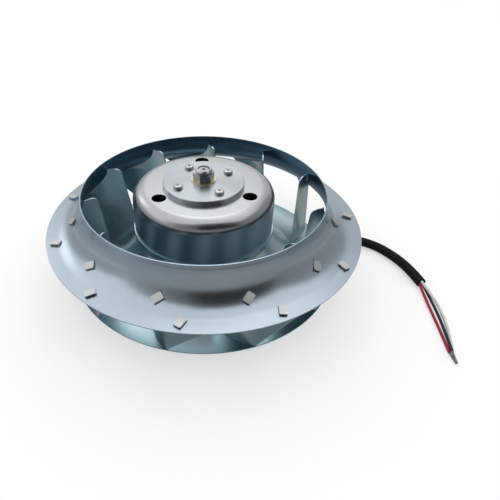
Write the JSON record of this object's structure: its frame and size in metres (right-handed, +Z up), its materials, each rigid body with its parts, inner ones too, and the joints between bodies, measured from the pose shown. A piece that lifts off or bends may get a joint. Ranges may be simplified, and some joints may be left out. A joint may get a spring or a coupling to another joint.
{
  "type": "motor cooling fan",
  "caption": "Backward-curved centrifugal fan wheel of zinc-plated sheet on an external-rotor motor, with inlet shroud, bolt-on flange and cable.",
  "frame": {"origin": "on the fan's axis, in the plane of the motor flange's mounting face", "axes": "+Z up along the axis of rotation towards the air inlet, +X towards the side where the cable leaves"},
  "size_m": [0.2808, 0.225, 0.0863],
  "materials": {
    "zinc_sheet": "satin zinc-plated sheet",
    "zinc_blade": "glossy zinc-plated sheet",
    "cup_steel": "bright drawn zinc-plated steel",
    "hub_aluminium": "turned",
    "screw_steel": "bright zinc",
    "washer_zinc": "yellow passivated zinc",
    "shaft_steel": "dark oiled steel",
    "bearing_steel": "ground bearing steel",
    "lamination_steel": "stacked electrical steel",
    "cast_aluminium": "die cast",
    "copper_winding": "varnished copper wire",
    "insulator_plastic": "moulded",
    "black_rubber": "matt black",
    "wire_red": "insulated wire",
    "wire_black": "insulated wire",
    "wire_white": "insulated wire",
    "tinned_copper": "tinned strands"
  },
  "bodies": {
    "motor": {"motor_flange": "cast_aluminium", "stator_core": "lamination_steel", "stator_windings": "copper_winding", "lower_insulator": "insulator_plastic", "upper_insulator": "insulator_plastic", "lower_bearing_outer_ring": "bearing_steel", "upper_bearing_outer_ring": "bearing_steel", "wave_spring": "shaft_steel", "bearing_cap": "cast_aluminium", "strain_relief": "black_rubber", "cable_sheath": "black_rubber", "wire_red": "wire_red", "wire_black": "wire_black", "wire_white": "wire_white", "wire_tips": "tinned_copper"},
    "rotor": {"inlet_shroud": "zinc_sheet", "back_plate": "zinc_blade", "blade_01": "zinc_blade", "blade_02": "zinc_blade", "blade_03": "zinc_blade", "blade_04": "zinc_blade", "blade_05": "zinc_blade", "blade_06": "zinc_blade", "blade_07": "zinc_blade", "blade_08": "zinc_blade", "blade_09": "zinc_blade", "blade_10": "zinc_blade", "blade_11": "zinc_blade", "rotor_cup": "cup_steel", "rotor_laminations": "lamination_steel", "rotor_end_rings": "cast_aluminium", "hub_disc": "hub_aluminium", "hub_screws": "screw_steel", "lock_washer": "washer_zinc", "lock_nut": "shaft_steel", "motor_shaft": "shaft_steel", "shaft_circlip": "screw_steel", "lower_bearing_inner_ring": "bearing_steel", "upper_bearing_inner_ring": "bearing_steel"},
    "lower_balls": {"lower_ball_set": "bearing_steel"},
    "upper_balls": {"upper_ball_set": "bearing_steel"}
  },
  "joints": [
    {"name": "rotor_spin", "type": "hinge", "parent": "motor", "child": "rotor", "pos_m": [0, 0, 0.045], "axis": [0, 0, 1], "continuous": true},
    {"name": "lower_balls_orbit", "type": "hinge", "parent": "motor", "child": "lower_balls", "pos_m": [0, 0, 0.015], "axis": [0, 0, 1], "continuous": true},
    {"name": "upper_balls_orbit", "type": "hinge", "parent": "motor", "child": "upper_balls", "pos_m": [0, 0, 0.0635], "axis": [0, 0, 1], "continuous": true}
  ],
  "couplings": [
    {"joint": "lower_balls_orbit", "follows": "rotor_spin", "ratio": 0.38},
    {"joint": "upper_balls_orbit", "follows": "rotor_spin", "ratio": 0.38}
  ]
}
